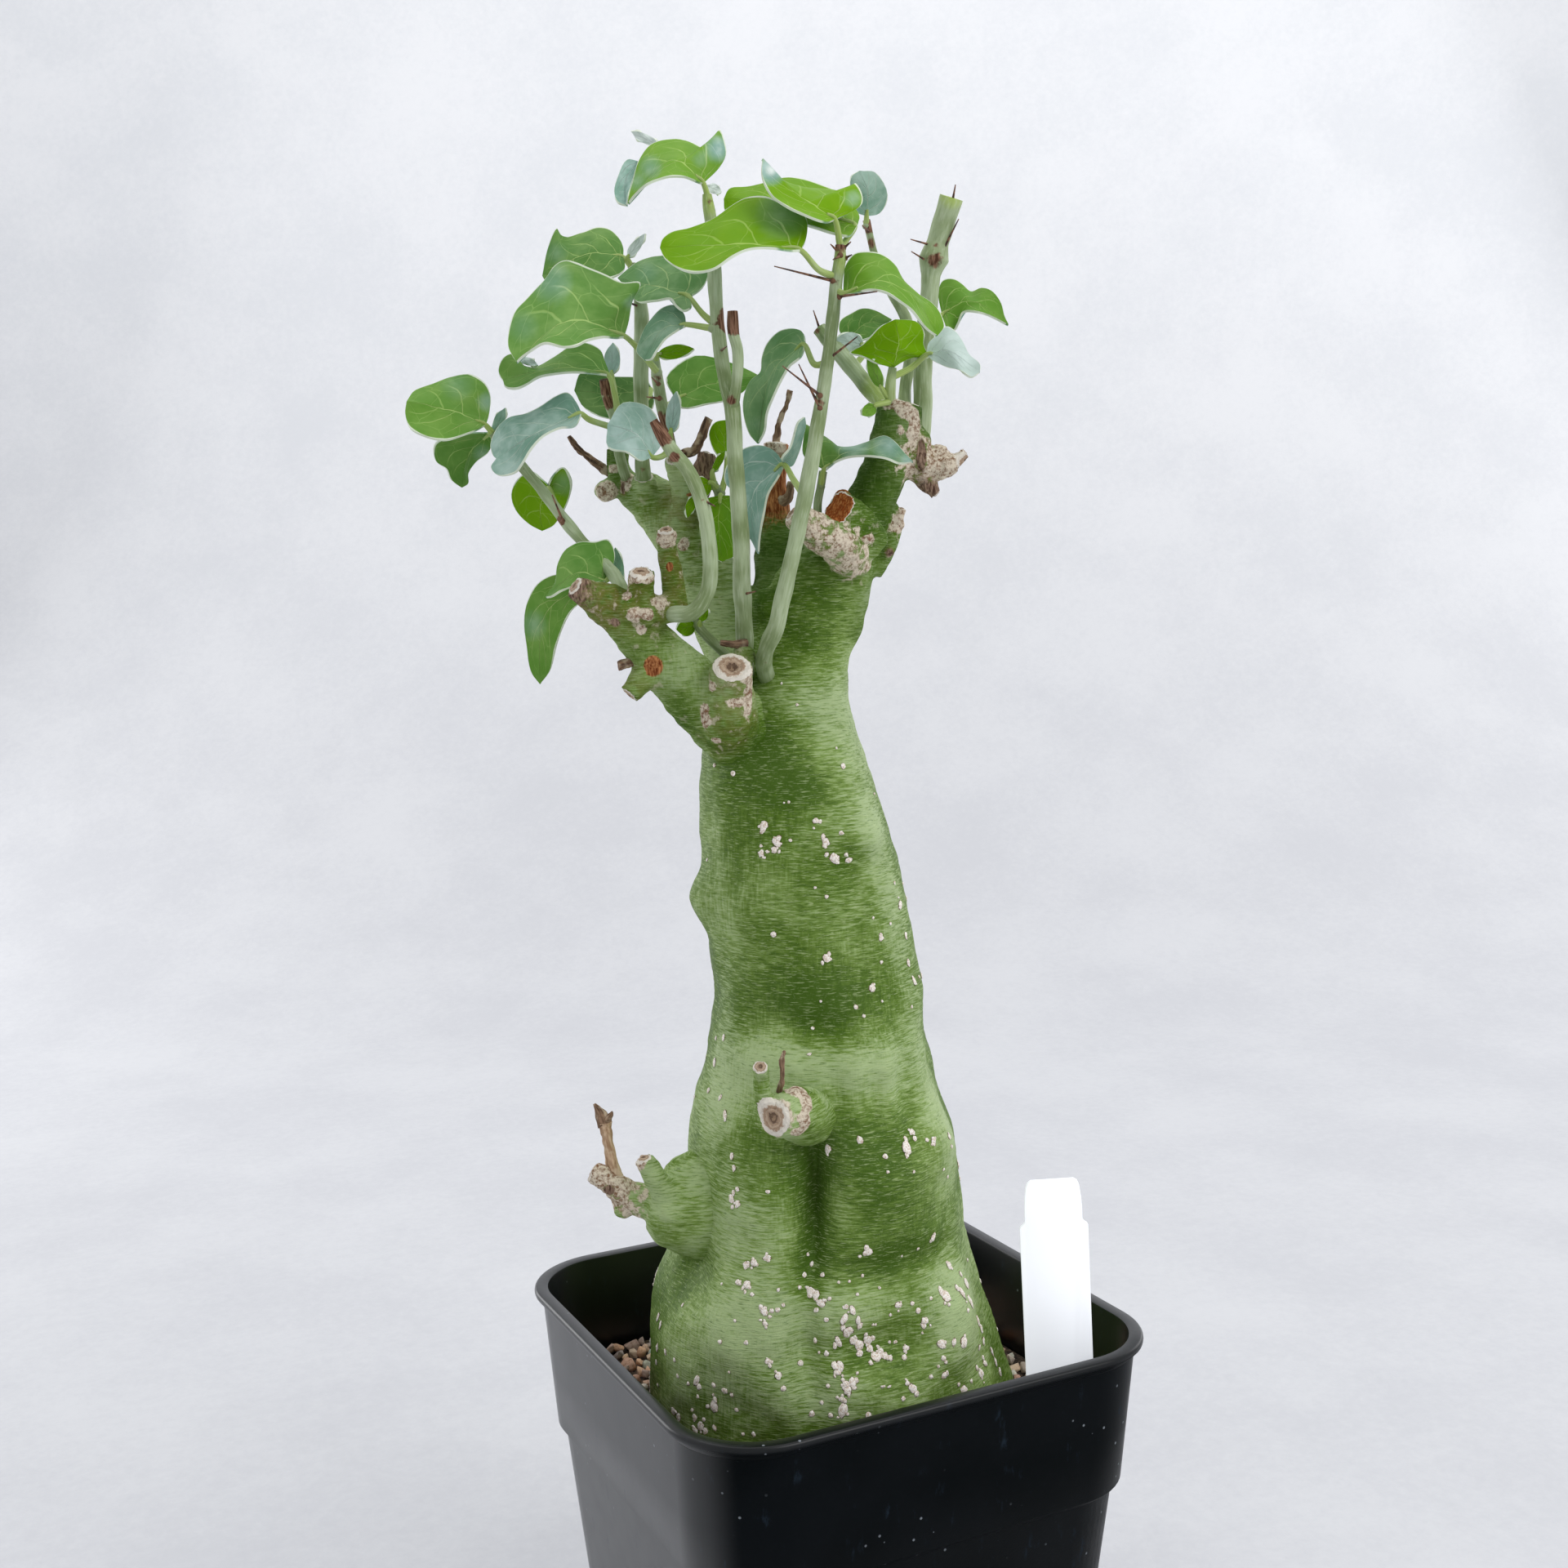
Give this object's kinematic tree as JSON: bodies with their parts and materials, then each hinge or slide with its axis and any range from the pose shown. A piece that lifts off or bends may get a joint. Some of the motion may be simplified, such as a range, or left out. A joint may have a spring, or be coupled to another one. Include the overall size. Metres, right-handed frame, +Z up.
{
  "type": "potted adenia spinosa",
  "caption": "Caudex plant with a swollen green trunk, cut-back limbs and young leafy shoots, in a square nursery pot with a gravel top and a blank label.",
  "frame": {"origin": "centre of the pot's underside", "axes": "+Z up; the pot's walls are parallel to X and Y, and the picture looks at the corner between its -X and -Y walls, 27 degrees off the -Y wall"},
  "size_m": [0.1409, 0.115, 0.3749],
  "materials": {
    "black_plastic": "satin black moulded plastic",
    "gravel": "matte tan and brown pebbles",
    "white_plastic": "satin white plastic",
    "skin": "living green bark with corky spots",
    "shoot": "living green stems and leaves"
  },
  "bodies": {
    "root": {"pot": "black_plastic", "gravel": "gravel", "label": "white_plastic", "trunk": "skin", "shoot_centre": "shoot", "shoot_front": "shoot", "shoot_curved": "shoot", "shoot_left": "shoot", "shoot_left_inner": "shoot", "shoot_back_left": "shoot", "shoot_knotted": "shoot", "shoot_right": "shoot", "shoot_inner": "shoot", "shoot_thin": "shoot", "shoot_crown": "shoot", "shoot_wing": "shoot", "shoot_tuft": "shoot", "shoot_low": "shoot"}
  },
  "joints": []
}
